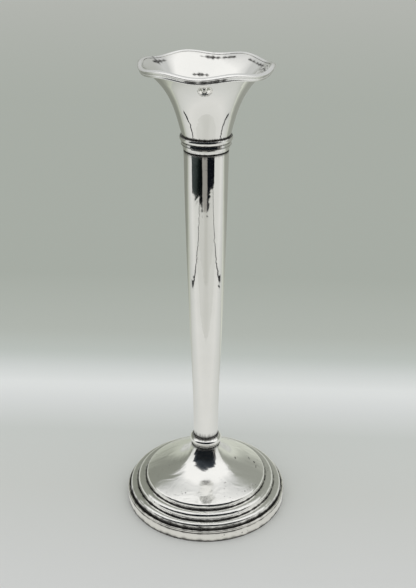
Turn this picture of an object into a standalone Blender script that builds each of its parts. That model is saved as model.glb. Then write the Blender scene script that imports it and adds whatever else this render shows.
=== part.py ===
"""Weighted silver candlestick: wavy trumpet socket, tapered tube stem and stepped round foot.

The stick stands on z = 0 with its axis on Z. Sheet-silver shells and soldered rings are stacked on a
steel tie rod, which pulls the candle seat down towards the plate that closes the weighted foot.
"""
import math

import bmesh
import bpy

MM = 0.001

# Driving dimensions
FOOT_RADIUS = 45.0 * MM
RIM_RADIUS = 32.8 * MM
RIM_HEIGHT = 248.8 * MM
CANDLE_RADIUS = 11.0 * MM
SHEET = 0.8 * MM
GAP = 0.3 * MM

# Turning resolution, in segments round the axis
WIDE_SEGMENTS = 48
NARROW_SEGMENTS = 32
ROD_SEGMENTS = 16

# Base stack, from the table upwards
FELT_THICKNESS = 1.0 * MM
NUT_HEIGHT = 2.7 * MM
WASHER_HEIGHT = 1.0 * MM
PLATE_THICKNESS = 1.0 * MM
NUT_BOTTOM = FELT_THICKNESS + GAP
WASHER_BOTTOM = NUT_BOTTOM + NUT_HEIGHT + GAP
DISH_UNDERSIDE = WASHER_BOTTOM + WASHER_HEIGHT + GAP
PLATE_UNDERSIDE = FELT_THICKNESS + GAP

# Tie rod and its fastenings
ROD_RADIUS = 2.5 * MM
ROD_HOLE_RADIUS = ROD_RADIUS + GAP
NUT_CORNER_RADIUS = 4.6 * MM
WASHER_RADIUS = 5.2 * MM
DISH_RADIUS = 8.0 * MM
DISH_SLOPE = 3.0 * MM

# Foot, outer surface: a band, two reeds and a dome that rises to a narrow neck
BAND_WIDTH = 1.3 * MM
BAND_BOTTOM = 0.1 * MM
BAND_TOP = 0.156 * FOOT_RADIUS
BEAD_RADIUS = 0.75 * MM
EDGE_BREAK = 0.2 * MM
SKIRT_RADIUS = FOOT_RADIUS - BAND_WIDTH - GAP
SKIRT_TOP = BAND_TOP + GAP
OUTER_REED_RADIUS = 0.871 * FOOT_RADIUS
OUTER_REED_HEIGHT = 0.215 * FOOT_RADIUS
DOME_RADIUS = 0.762 * FOOT_RADIUS
DOME_EDGE_HEIGHT = 0.292 * FOOT_RADIUS
ROLL_RADIUS = 0.738 * FOOT_RADIUS
ROLL_HEIGHT = 0.361 * FOOT_RADIUS
REED_RISE = 0.9 * MM
NECK_RADIUS = 7.8 * MM
NECK_TOP = 0.782 * FOOT_RADIUS

# Knop ring round the bottom of the stem: round wire under a small fillet of solder
KNOP_RADIUS = 0.196 * FOOT_RADIUS
KNOP_WIRE_RADIUS = 2.2 * MM
KNOP_WIRE_HEIGHT = 0.847 * FOOT_RADIUS
KNOP_TOP = 0.925 * FOOT_RADIUS
KNOP_BOTTOM = NECK_TOP + GAP

# Stem tube: (radius, height) stations down its outer side
STEM_TOP = 4.605 * FOOT_RADIUS
STEM_BOTTOM = 30.0 * MM
STEM_STATIONS = (
    (0.2500 * FOOT_RADIUS, STEM_TOP),
    (0.2275 * FOOT_RADIUS, 3.48 * FOOT_RADIUS),
    (0.1915 * FOOT_RADIUS, 2.40 * FOOT_RADIUS),
    (0.1600 * FOOT_RADIUS, 1.50 * FOOT_RADIUS),
    (0.1480 * FOOT_RADIUS, STEM_BOTTOM),
)
KNOP_BORE = STEM_STATIONS[-1][0] + 1.3 * GAP

# Two collar rings between the stem and the trumpet: a half-oval one under a bead on a plain band
COLLAR_BULGE = 0.8
COLLAR_BORE = STEM_STATIONS[0][0] - SHEET - GAP
LOWER_COLLAR_RADIUS = 0.262 * FOOT_RADIUS
LOWER_COLLAR_BOTTOM = STEM_TOP + GAP
LOWER_COLLAR_TOP = 4.672 * FOOT_RADIUS
UPPER_COLLAR_RADIUS = 0.293 * FOOT_RADIUS
UPPER_COLLAR_BEAD = 1.3 * MM
UPPER_COLLAR_BAND_RADIUS = 0.267 * FOOT_RADIUS
UPPER_COLLAR_BOTTOM = LOWER_COLLAR_TOP + GAP
UPPER_COLLAR_TOP = 4.775 * FOOT_RADIUS

# Trumpet: its throat takes the candle and its lip spreads to the wavy rim
THROAT_RADIUS = CANDLE_RADIUS + GAP + SHEET
TRUMPET_BOTTOM = UPPER_COLLAR_TOP + GAP
LIP_RADIUS = 30.5 * MM
LIP_HEIGHT = RIM_HEIGHT - 0.6 * MM
FLARE_STRAIGHT_SHARE = 0.45
FLARE_POWER = 3.4

# Rim wire: a thick bead over a thinner one
RIM_BEAD_RADIUS = 0.87 * MM
RIM_SMALL_BEAD_RADIUS = 0.7 * MM
RIM_SMALL_BEAD_INSET = 0.7 * MM
RIM_SMALL_BEAD_DROP = 1.95 * MM
RIM_SEAT_MARGIN = 0.15 * MM

# Wave of the rim: six drooping lobes, a little uneven and out of level as hand work leaves them
WAVE_LOBES = 6
WAVE_HEIGHT = 0.8 * MM
WAVE_LOW_ANGLE = math.radians(-99.0)
WAVE_DRIFT = math.radians(2.3)
RIM_TILT_DROP = 0.7 * MM
RIM_TILT_ANGLE = math.radians(63.0)
WAVE_START_HEIGHT = 226.0 * MM

# Candle seat: a flanged plug that closes the stem and holds the top of the tie rod
SEAT_THICKNESS = 1.2 * MM
SEAT_FLANGE_RADIUS = CANDLE_RADIUS
SEAT_SPIGOT_RADIUS = COLLAR_BORE - GAP
SEAT_SPIGOT_BOTTOM = 198.0 * MM
ROD_TOP = 209.0 * MM

SILVER = ("sheet silver", (0.86, 0.85, 0.81), 1.0, 0.12)
SOLDERED_WIRE = ("silver wire", (0.84, 0.83, 0.79), 1.0, 0.16)
STEEL = ("mild steel", (0.42, 0.42, 0.43), 1.0, 0.42)
PLASTER = ("plaster loading", (0.74, 0.70, 0.62), 0.0, 0.9)
FELT = ("green felt", (0.05, 0.14, 0.09), 0.0, 0.98)


def clear_scene():
    """Remove whatever objects the file starts with."""
    for obj in list(bpy.data.objects):
        bpy.data.objects.remove(obj, do_unlink=True)


def new_collection(name):
    """Make an empty collection in the scene."""
    collection = bpy.data.collections.new(name)
    bpy.context.scene.collection.children.link(collection)
    return collection


def paint(obj, finish):
    """Give the object a Principled material of its own."""
    label, colour, metallic, roughness = finish
    material = bpy.data.materials.new(f"{obj.name} {label}")
    material.use_nodes = True
    shader = material.node_tree.nodes["Principled BSDF"]
    shader.inputs["Base Color"].default_value = (*colour, 1.0)
    shader.inputs["Metallic"].default_value = metallic
    shader.inputs["Roughness"].default_value = roughness
    obj.data.materials.append(material)


def bezier(start, start_handle, end_handle, end, steps):
    """Points of a cubic curve between two (radius, height) points, both ends included."""
    points = []
    for step in range(steps + 1):
        t = step / steps
        weights = ((1 - t) ** 3, 3 * t * (1 - t) ** 2, 3 * t * t * (1 - t), t ** 3)
        corners = (start, start_handle, end_handle, end)
        points.append(tuple(sum(w * c[axis] for w, c in zip(weights, corners)) for axis in (0, 1)))
    return points


def arc(centre, radius, start_degrees, end_degrees, steps):
    """Points of a circular arc in the (radius, height) plane, both ends included."""
    points = []
    for step in range(steps + 1):
        angle = math.radians(start_degrees + (end_degrees - start_degrees) * step / steps)
        points.append((centre[0] + radius * math.cos(angle), centre[1] + radius * math.sin(angle)))
    return points


def through(stations, steps):
    """A smooth line through the stations, with the given number of steps between neighbours."""
    points = []
    for index in range(len(stations) - 1):
        before = stations[max(index - 1, 0)]
        start = stations[index]
        end = stations[index + 1]
        after = stations[min(index + 2, len(stations) - 1)]
        handles = [
            (start[axis] + (end[axis] - before[axis]) / 6, end[axis] - (after[axis] - start[axis]) / 6)
            for axis in (0, 1)
        ]
        span = bezier(start, (handles[0][0], handles[1][0]), (handles[0][1], handles[1][1]), end, steps)
        points.extend(span if index == 0 else span[1:])
    return points


def turned(collection, name, outline, segments, finish, wall=0.0, closed=False):
    """Turn an outline about Z: an open one with a wall is a shell, a closed one is a solid ring."""
    edges = [(index, index + 1) for index in range(len(outline) - 1)]
    if closed:
        edges.append((len(outline) - 1, 0))
    mesh = bpy.data.meshes.new(name)
    mesh.from_pydata([(radius, 0.0, height) for radius, height in outline], edges, [])
    obj = bpy.data.objects.new(name, mesh)
    collection.objects.link(obj)
    turn = obj.modifiers.new("Turn", "SCREW")
    turn.axis = "Z"
    turn.angle = 2 * math.pi
    turn.steps = segments
    turn.render_steps = segments
    turn.use_merge_vertices = True
    turn.merge_threshold = 0.00001
    turn.use_smooth_shade = True
    if wall:
        solidify = obj.modifiers.new("Wall", "SOLIDIFY")
        solidify.thickness = wall
        solidify.offset = -1.0
        solidify.use_even_offset = True
    paint(obj, finish)
    return obj


def cylinder(collection, name, radius, bottom, top, segments, finish=None):
    """A plain cylinder, or a prism when it has few segments, standing on Z."""
    mesh = bpy.data.meshes.new(name)
    model = bmesh.new()
    bmesh.ops.create_cone(
        model, cap_ends=True, segments=segments, radius1=radius, radius2=radius, depth=top - bottom
    )
    model.to_mesh(mesh)
    model.free()
    mesh.shade_smooth()
    mesh.set_sharp_from_angle(angle=math.radians(30))
    obj = bpy.data.objects.new(name, mesh)
    obj.location.z = (bottom + top) / 2
    collection.objects.link(obj)
    if finish:
        paint(obj, finish)
    return obj


def bevel_edges(obj, width):
    """Round the sharp edges of a plain solid."""
    bevel = obj.modifiers.new("Edge", "BEVEL")
    bevel.width = width
    bevel.segments = 1
    bevel.limit_method = "ANGLE"
    bevel.angle_limit = math.radians(40)


def rim_wave(angle):
    """Height that the wave and the tilt add to the rim at an angle about Z."""
    drift = WAVE_DRIFT * math.sin(angle - RIM_TILT_ANGLE)
    lobes = -WAVE_HEIGHT * math.cos(WAVE_LOBES * (angle - WAVE_LOW_ANGLE + drift))
    return lobes - RIM_TILT_DROP * math.cos(angle - RIM_TILT_ANGLE)


def bend_to_wave(obj):
    """Lift and drop a turned piece with the wave, which fades out down the trumpet."""
    depsgraph = bpy.context.evaluated_depsgraph_get()
    mesh = bpy.data.meshes.new_from_object(obj.evaluated_get(depsgraph))
    for vertex in mesh.vertices:
        climb = (vertex.co.z - WAVE_START_HEIGHT) / (RIM_HEIGHT - WAVE_START_HEIGHT)
        share = min(max(climb, 0.0), 1.0) ** 2
        vertex.co.z += share * rim_wave(math.atan2(vertex.co.y, vertex.co.x))
    mesh.shade_smooth()
    mesh.set_sharp_from_angle(angle=math.radians(50))
    obj.modifiers.clear()
    obj.data = mesh


def trumpet_radius(share):
    """Outer radius at a share of the trumpet's height, 0 at the throat and 1 at the lip."""
    flare = FLARE_STRAIGHT_SHARE * share + (1 - FLARE_STRAIGHT_SHARE) * share ** FLARE_POWER
    return THROAT_RADIUS + (LIP_RADIUS - THROAT_RADIUS) * flare


def build_rim_wire(collection):
    """Reeded wire round the lip: a thick bead above, a thinner one below, flat towards the lip."""
    seat = LIP_RADIUS + GAP
    bead = (RIM_RADIUS - RIM_BEAD_RADIUS, RIM_HEIGHT)
    small_bead = (bead[0] - RIM_SMALL_BEAD_INSET, RIM_HEIGHT - RIM_SMALL_BEAD_DROP)
    outline = arc(bead, RIM_BEAD_RADIUS, 160, -60, 6)
    outline += arc(small_bead, RIM_SMALL_BEAD_RADIUS, 30, -120, 4)
    outline += [(seat, small_bead[1] - RIM_SEAT_MARGIN), (seat, bead[1] - RIM_SEAT_MARGIN)]
    wire = turned(collection, "rim_wire", outline, WIDE_SEGMENTS, SOLDERED_WIRE, closed=True)
    bend_to_wave(wire)


def build_trumpet(collection):
    """Sheet-silver trumpet, raised to a throat that takes the candle."""
    steps = 10
    outline = []
    for step in range(steps + 1):
        share = 1 - step / steps
        height = TRUMPET_BOTTOM + (LIP_HEIGHT - TRUMPET_BOTTOM) * share
        outline.append((trumpet_radius(share), height))
    trumpet = turned(collection, "trumpet", outline, WIDE_SEGMENTS, SILVER, wall=SHEET)
    bend_to_wave(trumpet)


def build_candle_seat(collection):
    """Flanged plug with a flat top for the candle and a blind hole for the tie rod."""
    flange_bottom = UPPER_COLLAR_TOP + GAP
    flange_top = flange_bottom + SEAT_THICKNESS
    hole_top = ROD_TOP + GAP
    outline = [
        (0.0, flange_top),
        (SEAT_FLANGE_RADIUS, flange_top),
        (SEAT_FLANGE_RADIUS, flange_bottom),
        (SEAT_SPIGOT_RADIUS, flange_bottom),
        (SEAT_SPIGOT_RADIUS, SEAT_SPIGOT_BOTTOM),
        (ROD_HOLE_RADIUS, SEAT_SPIGOT_BOTTOM),
        (ROD_HOLE_RADIUS, hole_top),
        (0.0, hole_top),
    ]
    turned(collection, "candle_seat", outline, NARROW_SEGMENTS, SILVER)


def build_lower_collar(collection):
    """Half-oval ring round the top of the stem."""
    half_height = (LOWER_COLLAR_TOP - LOWER_COLLAR_BOTTOM) / 2
    middle = (LOWER_COLLAR_TOP + LOWER_COLLAR_BOTTOM) / 2
    bulge = COLLAR_BULGE * half_height
    outline = [
        (LOWER_COLLAR_RADIUS - bulge + bulge * across, middle + half_height * up)
        for across, up in arc((0.0, 0.0), 1.0, 90, -90, 6)
    ]
    outline += [(COLLAR_BORE, LOWER_COLLAR_BOTTOM), (COLLAR_BORE, LOWER_COLLAR_TOP)]
    turned(collection, "lower_collar", outline, NARROW_SEGMENTS, SOLDERED_WIRE, closed=True)


def build_upper_collar(collection):
    """Ring with a round bead at its top, under the trumpet, and a plain band below the bead."""
    bead = (UPPER_COLLAR_RADIUS - UPPER_COLLAR_BEAD, UPPER_COLLAR_TOP - UPPER_COLLAR_BEAD)
    outline = arc(bead, UPPER_COLLAR_BEAD, 90, -70, 6)
    outline += [
        (UPPER_COLLAR_BAND_RADIUS, UPPER_COLLAR_BOTTOM),
        (COLLAR_BORE, UPPER_COLLAR_BOTTOM),
        (COLLAR_BORE, UPPER_COLLAR_TOP),
    ]
    turned(collection, "upper_collar", outline, NARROW_SEGMENTS, SOLDERED_WIRE, closed=True)


def build_stem(collection):
    """Tapered sheet-silver tube, slightly fuller in its upper half."""
    outline = through(STEM_STATIONS, 2)
    turned(collection, "stem_tube", outline, NARROW_SEGMENTS, SILVER, wall=SHEET)


def build_knop_ring(collection):
    """Round ring that slips over the stem and sits on the neck of the foot."""
    centre = (KNOP_RADIUS - KNOP_WIRE_RADIUS, KNOP_WIRE_HEIGHT)
    outline = [(KNOP_BORE, KNOP_TOP)]
    outline += arc(centre, KNOP_WIRE_RADIUS, 68, -56, 8)
    outline += [(NECK_RADIUS, KNOP_BOTTOM), (KNOP_BORE, KNOP_BOTTOM)]
    turned(collection, "knop_ring", outline, NARROW_SEGMENTS, SOLDERED_WIRE, closed=True)


def reed(inner, outer, steps):
    """Step that rises a little from one crease, turns a tight corner and falls to the next."""
    width = outer[0] - inner[0]
    rise_handle = (inner[0] + 0.6 * width, inner[1] + REED_RISE)
    fall_handle = (outer[0], inner[1] + 0.8 * REED_RISE)
    return bezier(inner, rise_handle, fall_handle, outer, steps)


def foot_outline():
    """Outer side of the foot: neck, dome with a rolled edge, two reeds and a skirt inside the band."""
    roll = (ROLL_RADIUS, ROLL_HEIGHT)
    dome_edge = (DOME_RADIUS, DOME_EDGE_HEIGHT)
    reed_crease = (OUTER_REED_RADIUS, OUTER_REED_HEIGHT)
    skirt_top = (SKIRT_RADIUS, SKIRT_TOP)
    neck_handle = (0.328 * FOOT_RADIUS, 0.449 * FOOT_RADIUS)
    shoulder_handle = (0.502 * FOOT_RADIUS, 0.475 * FOOT_RADIUS)
    roll_handle = (0.754 * FOOT_RADIUS, 0.353 * FOOT_RADIUS)
    drop_handle = (0.763 * FOOT_RADIUS, 0.320 * FOOT_RADIUS)
    outline = bezier((NECK_RADIUS, NECK_TOP), neck_handle, shoulder_handle, roll, 8)
    outline += bezier(roll, roll_handle, drop_handle, dome_edge, 3)[1:]
    outline += reed(dome_edge, reed_crease, 5)[1:]
    outline += reed(reed_crease, skirt_top, 5)[1:]
    outline.append((SKIRT_RADIUS, PLATE_UNDERSIDE))
    return outline


def build_foot_shell(collection):
    """Sheet-silver foot, open underneath."""
    turned(collection, "foot_shell", foot_outline(), WIDE_SEGMENTS, SILVER, wall=SHEET)


def build_foot_band(collection):
    """Band soldered round the foot: a small bead on top of a plain upright strip."""
    bead = (FOOT_RADIUS - BEAD_RADIUS, BAND_TOP - BEAD_RADIUS)
    inner = FOOT_RADIUS - BAND_WIDTH
    groove = bead[1] - BEAD_RADIUS
    outline = arc(bead, BEAD_RADIUS, 120, -60, 4)
    outline += [
        (FOOT_RADIUS, groove - EDGE_BREAK),
        (FOOT_RADIUS, BAND_BOTTOM + EDGE_BREAK),
        (FOOT_RADIUS - EDGE_BREAK, BAND_BOTTOM),
        (inner, BAND_BOTTOM),
        (inner, BAND_TOP - EDGE_BREAK),
    ]
    turned(collection, "foot_band", outline, WIDE_SEGMENTS, SOLDERED_WIRE, closed=True)


def build_loading(collection):
    """Plaster weight cast inside the foot, round the rod and over the dished plate."""
    inset = SHEET + GAP
    plate_top = PLATE_UNDERSIDE + PLATE_THICKNESS + GAP
    dish_top = DISH_UNDERSIDE + PLATE_THICKNESS + GAP
    dome = through(
        (
            (NECK_RADIUS - GAP, STEM_BOTTOM - GAP),
            (0.255 * FOOT_RADIUS, 0.56 * FOOT_RADIUS),
            (0.50 * FOOT_RADIUS, 0.41 * FOOT_RADIUS),
            (DOME_RADIUS - inset, DOME_EDGE_HEIGHT - 1.5 * inset),
        ),
        2,
    )
    outline = [(ROD_HOLE_RADIUS, STEM_BOTTOM - GAP)] + dome
    outline += [
        (OUTER_REED_RADIUS - inset, OUTER_REED_HEIGHT - 1.5 * inset),
        (SKIRT_RADIUS - inset, SKIRT_TOP - inset),
        (SKIRT_RADIUS - inset, plate_top),
        (DISH_RADIUS + DISH_SLOPE + GAP, plate_top),
        (DISH_RADIUS + GAP, dish_top),
        (ROD_HOLE_RADIUS, dish_top),
    ]
    turned(collection, "foot_loading", outline, NARROW_SEGMENTS, PLASTER, closed=True)


def build_base_plate(collection):
    """Pressed steel plate that closes the foot, dished in the middle over the nut."""
    plate_top = PLATE_UNDERSIDE + PLATE_THICKNESS
    dish_top = DISH_UNDERSIDE + PLATE_THICKNESS
    outline = [
        (ROD_HOLE_RADIUS, dish_top),
        (DISH_RADIUS, dish_top),
        (DISH_RADIUS + DISH_SLOPE, plate_top),
        (SKIRT_RADIUS - SHEET - GAP, plate_top),
    ]
    turned(collection, "base_plate", outline, NARROW_SEGMENTS, STEEL, wall=PLATE_THICKNESS)


def build_tie_rod(collection):
    """Steel rod from the nut up into the candle seat."""
    rod = cylinder(collection, "tie_rod", ROD_RADIUS, NUT_BOTTOM, ROD_TOP, ROD_SEGMENTS, STEEL)
    bevel_edges(rod, 2.5 * EDGE_BREAK)


def build_washer(collection):
    """Plain washer between the nut and the dish of the plate."""
    top = WASHER_BOTTOM + WASHER_HEIGHT
    outline = [
        (ROD_HOLE_RADIUS, top),
        (WASHER_RADIUS, top),
        (WASHER_RADIUS, WASHER_BOTTOM),
        (ROD_HOLE_RADIUS, WASHER_BOTTOM),
    ]
    turned(collection, "rod_washer", outline, NARROW_SEGMENTS, STEEL, closed=True)


def build_nut(collection, cutters):
    """Thin hexagon nut on the bottom end of the rod."""
    top = NUT_BOTTOM + NUT_HEIGHT
    nut = cylinder(collection, "rod_nut", NUT_CORNER_RADIUS, NUT_BOTTOM, top, 6, STEEL)
    bore = cylinder(
        cutters, "rod_nut_bore", ROD_HOLE_RADIUS, NUT_BOTTOM - MM, top + MM, ROD_SEGMENTS
    )
    bore.hide_render = True
    bore.display_type = "WIRE"
    cut = nut.modifiers.new("Bore", "BOOLEAN")
    cut.operation = "DIFFERENCE"
    cut.object = bore


def build_felt(collection):
    """Felt disc under the foot, on which the stick stands."""
    felt = cylinder(
        collection, "base_felt", SKIRT_RADIUS - GAP, 0.0, FELT_THICKNESS, WIDE_SEGMENTS, FELT
    )
    bevel_edges(felt, EDGE_BREAK)


def main():
    """Build the candlestick from its rim down to its felt."""
    clear_scene()
    candlestick = new_collection("silver_candlestick")
    cutters = new_collection("cutters")
    build_rim_wire(candlestick)
    build_trumpet(candlestick)
    build_candle_seat(candlestick)
    build_upper_collar(candlestick)
    build_lower_collar(candlestick)
    build_stem(candlestick)
    build_knop_ring(candlestick)
    build_foot_shell(candlestick)
    build_foot_band(candlestick)
    build_loading(candlestick)
    build_base_plate(candlestick)
    build_tie_rod(candlestick)
    build_washer(candlestick)
    build_nut(candlestick, cutters)
    build_felt(candlestick)


main()
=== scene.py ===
"""Looks for the silver candlestick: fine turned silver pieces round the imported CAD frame."""
import math

import bpy
import numpy as np
from mathutils import Matrix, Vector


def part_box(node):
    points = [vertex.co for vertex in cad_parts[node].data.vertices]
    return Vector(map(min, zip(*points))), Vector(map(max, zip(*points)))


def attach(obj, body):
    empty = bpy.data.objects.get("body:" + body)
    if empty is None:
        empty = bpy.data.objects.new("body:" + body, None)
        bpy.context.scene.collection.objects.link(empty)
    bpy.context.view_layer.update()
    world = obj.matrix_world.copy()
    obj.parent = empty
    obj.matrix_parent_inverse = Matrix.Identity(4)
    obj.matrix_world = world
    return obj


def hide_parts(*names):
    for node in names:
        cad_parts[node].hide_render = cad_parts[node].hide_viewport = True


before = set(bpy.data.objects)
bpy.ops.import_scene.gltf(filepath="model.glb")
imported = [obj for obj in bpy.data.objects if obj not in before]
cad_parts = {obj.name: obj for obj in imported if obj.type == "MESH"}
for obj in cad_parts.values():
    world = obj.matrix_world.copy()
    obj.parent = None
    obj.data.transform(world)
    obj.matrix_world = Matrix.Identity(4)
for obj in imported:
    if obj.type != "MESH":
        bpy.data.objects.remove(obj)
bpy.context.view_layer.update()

MM = 0.001

# Sizes that the frame gives
FOOT_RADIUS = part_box("foot_band")[1].x
BAND_LOW, BAND_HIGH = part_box("foot_band")
SHELL_LOW, SHELL_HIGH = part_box("foot_shell")
KNOP_LOW, KNOP_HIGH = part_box("knop_ring")
STEM_LOW, STEM_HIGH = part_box("stem_tube")
LOWER_COLLAR_LOW, LOWER_COLLAR_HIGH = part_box("lower_collar")
UPPER_COLLAR_LOW, UPPER_COLLAR_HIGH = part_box("upper_collar")
TRUMPET_LOW, TRUMPET_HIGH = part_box("trumpet")
RIM_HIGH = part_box("rim_wire")[1]
SEAT_LOW, SEAT_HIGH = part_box("candle_seat")
FELT_LOW, FELT_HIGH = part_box("base_felt")

# Wall of the sheet pieces, and the play between neighbours
SHEET = 0.8 * MM
SOLDER_GAP = 0.3 * MM

# Mesh of the turned pieces. Discs keep a pinhole of AXIS_RADIUS, so that no quad collapses
RING_STEP_DEGREES = 1.25
SHARP_ANGLE = math.radians(38)
AXIS_RADIUS = 0.01 * MM
DOME_STEPS = 80
ROLL_STEPS = 18
REED_STEPS = 26
STEM_STEPS = 26
TRUMPET_STEPS = 90

# Unevenness of hand-worked silver: how many waves, the most round the axis, the shortest along it
UNEVEN_WAVES = 14
UNEVEN_MAX_TURNS = 8
UNEVEN_LENGTH = 22 * MM

# Foot, as (radius, height): the creases, then the curve's handles from neck to rolled edge
DOME_EDGE = (0.762 * FOOT_RADIUS, 0.292 * FOOT_RADIUS)
REED_CREASE = (0.871 * FOOT_RADIUS, 0.215 * FOOT_RADIUS)
SKIRT_TOP = (SHELL_HIGH.x, BAND_HIGH.z + SOLDER_GAP)
NECK_TOP = (7.8 * MM, SHELL_HIGH.z)
NECK_HANDLE = (0.328 * FOOT_RADIUS, 0.449 * FOOT_RADIUS)
SHOULDER_HANDLE = (0.502 * FOOT_RADIUS, 0.475 * FOOT_RADIUS)
ROLL = (0.738 * FOOT_RADIUS, 0.361 * FOOT_RADIUS)
ROLL_HANDLE = (0.754 * FOOT_RADIUS, 0.353 * FOOT_RADIUS)
DROP_HANDLE = (0.763 * FOOT_RADIUS, 0.320 * FOOT_RADIUS)
REED_RISE = 0.9 * MM
BAND_BEAD = 0.75 * MM
BAND_GROOVE = 0.35 * MM
BAND_EDGE = 0.2 * MM

# Stem, knop and collars
STEM_TOP_RADIUS = 0.2500 * FOOT_RADIUS
STEM_FOOT_RADIUS = 0.1480 * FOOT_RADIUS
KNOP_WIRE = 2.2 * MM
KNOP_HEIGHT = 0.847 * FOOT_RADIUS
KNOP_BORE = STEM_FOOT_RADIUS + 1.3 * SOLDER_GAP
COLLAR_BAND = 1.7 * MM
COLLAR_BAND_SPREAD = 0.25 * MM
COLLAR_EDGE = 0.25 * MM
COLLAR_BORE = STEM_TOP_RADIUS - SHEET - SOLDER_GAP

# Candle seat: a flange on a drilled spigot
SEAT_THICKNESS = 1.2 * MM
SEAT_EDGE = 0.3 * MM
SEAT_SPIGOT = STEM_TOP_RADIUS - SHEET - 2 * SOLDER_GAP
SEAT_HOLE = 2.8 * MM
SEAT_HOLE_DEPTH = 11.3 * MM

FELT_EDGE = 0.3 * MM

# Rim: a thick bead, flattened to a brow above, over a thinner one; six drooping lobes
RIM_BEAD = 0.87 * MM
BROW_RADIUS = 2.0 * MM
BROW_INSET = 0.87 * BROW_RADIUS
EDGE_RADIUS = 0.2 * MM
INNER_RADIUS = 0.45 * MM
SMALL_BEAD = 0.7 * MM
SMALL_BEAD_INSET = 0.7 * MM
SMALL_BEAD_DROP = 1.95 * MM
RIM_GROOVE_INSET = 0.45 * MM
RIM_GROOVE_DROP = 1.1 * MM
RIM_SEAT_MARGIN = 0.15 * MM
RIM_LAP = 0.35 * MM
RIM_LAP_RISE = 0.25 * MM
WAVE_LOBES = 6
WAVE_HEIGHT = 0.8 * MM
WAVE_LOW_ANGLE = math.radians(-99.0)
WAVE_DRIFT = math.radians(2.3)
RIM_TILT_DROP = 0.7 * MM
RIM_TILT_ANGLE = math.radians(63.0)
WAVE_START_HEIGHT = 226.0 * MM
RIM_HEIGHT = RIM_HIGH.z - RIM_BEAD - WAVE_HEIGHT - RIM_TILT_DROP + 0.03 * MM
LIP = (TRUMPET_HIGH.x, RIM_HEIGHT - 0.6 * MM)
THROAT_RADIUS = 12.1 * MM
FLARE_STRAIGHT_SHARE = 0.45
FLARE_POWER = 3.4

# How far black reaches from the creases: tarnish in most, tarnish with painted shadow under the lower
# collar, painted shadow at the band's foot and inside the back of the lip, painted reflection in the
# rim's front groove; and where the painted shadow lies inside the lip
NECK_TARNISH = 0.7 * MM
REED_TARNISH = 0.5 * MM
SKIRT_TARNISH = 1.0 * MM
BAND_TOP_TARNISH = 0.7 * MM
BAND_FOOT_PAINTED_SHADOW = 0.9 * MM
KNOP_TOP_TARNISH = 0.8 * MM
STEM_FOOT_TARNISH = 1.0 * MM
COLLAR_TARNISH = 0.5 * MM
TRUMPET_FOOT_TARNISH = 0.4 * MM
GROOVE_TARNISH = 0.3 * MM
COLLAR_BEAD_TARNISH = 0.25 * MM
COLLAR_FOOT_TARNISH = 0.2 * MM
SEAT_TARNISH = 1.2 * MM
RIM_GROOVE_TARNISH = 0.16 * MM
RIM_SEAM_PAINTED_SHADOW = 0.35 * MM
FRONT_PAINTED_REFLECTION = 0.75 * MM
INSIDE_PAINTED_SHADOW = 1.1 * MM
INSIDE_INSET = 2.2 * MM
INSIDE_DEPTH = 0.7 * MM

# Black in the creases, tarnish and painted shade: the least fade at its edge, how solid it is, and the
# side where painted shade spreads it furthest
TARNISH_AND_SHADE_FADE = 0.01 * MM
TARNISH_AND_SHADE_DENSITY = 1.7
PAINTED_SHADE_SIDE = math.radians(225)
TARNISH_AND_SHADE_COLOUR = (0.035, 0.032, 0.03)

# Arcs of the rim with black painted on: painted shadow at the back inside and painted reflection at the
# front outside: middle and reach
RIM_PAINTED_SHADOW_ARCS = (
    (math.radians(76), math.radians(23)),
    (math.radians(146), math.radians(13)),
    (math.radians(28), math.radians(17)),
)
RIM_PAINTED_REFLECTION_ARCS = ((math.radians(-90), math.radians(24)),)

# Black specks on the dome, right of the stem: distance out from the axis and angle
SPECK_REACH = 0.6 * MM
DOME_SPECKS = (
    (17.0 * MM, math.radians(0)),
    (25.7 * MM, math.radians(12)),
    (28.2 * MM, math.radians(6)),
    (29.0 * MM, math.radians(-2)),
)

# A dark painted reflection down the back of the trumpet's inside, measured from the lip
BACK_PAINTED_REFLECTION_INSET = 9.9 * MM
BACK_PAINTED_REFLECTION_DEPTH = 8.6 * MM
BACK_PAINTED_REFLECTION_REACH = 1.1 * MM
BACK_PAINTED_REFLECTION_ARCS = ((math.radians(98), math.radians(13)),)

# Surroundings, in metres from the stick's axis: a real floor, and mirrored cards in thin layers on it
FLOOR_REACH = 4.0
FLOOR_LAYER = 0.0003
ROOM_FRONT = -0.46
BACK_TOP = 0.33
LEFT_SEAM = -0.27
RIGHT_SEAM = 0.265
SEAM_WIDTH = 0.014
SEAM_END = 0.05

# Camera, in front of the stick and above it
LENS = 58.0
CAMERA_BACK = 10.013 * FOOT_RADIUS
CAMERA_UP = 7.688 * FOOT_RADIUS
CAMERA_PITCH_DEGREES = 25.79
CAMERA_YAW = -0.0023
CAMERA_ROLL = 0.0026


def bezier(start, start_handle, end_handle, end, steps):
    """Points of a cubic curve between two (radius, height) points, both ends included."""
    t = np.linspace(0, 1, steps + 1)[:, None]
    corners = [np.array(corner) for corner in (start, start_handle, end_handle, end)]
    return (
        (1 - t) ** 3 * corners[0]
        + 3 * t * (1 - t) ** 2 * corners[1]
        + 3 * t ** 2 * (1 - t) * corners[2]
        + t ** 3 * corners[3]
    )


def arc(centre, radius, start_degrees, end_degrees, steps):
    """Points of a circular arc in the (radius, height) plane, both ends included."""
    angles = np.radians(np.linspace(start_degrees, end_degrees, steps + 1))
    return np.stack([centre[0] + radius * np.cos(angles), centre[1] + radius * np.sin(angles)], 1)


def tangent_centre(point, radius, degrees):
    """Centre of the arc of this radius that passes through the point at this angle."""
    angle = math.radians(degrees)
    return point - radius * np.array((math.cos(angle), math.sin(angle)))


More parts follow.
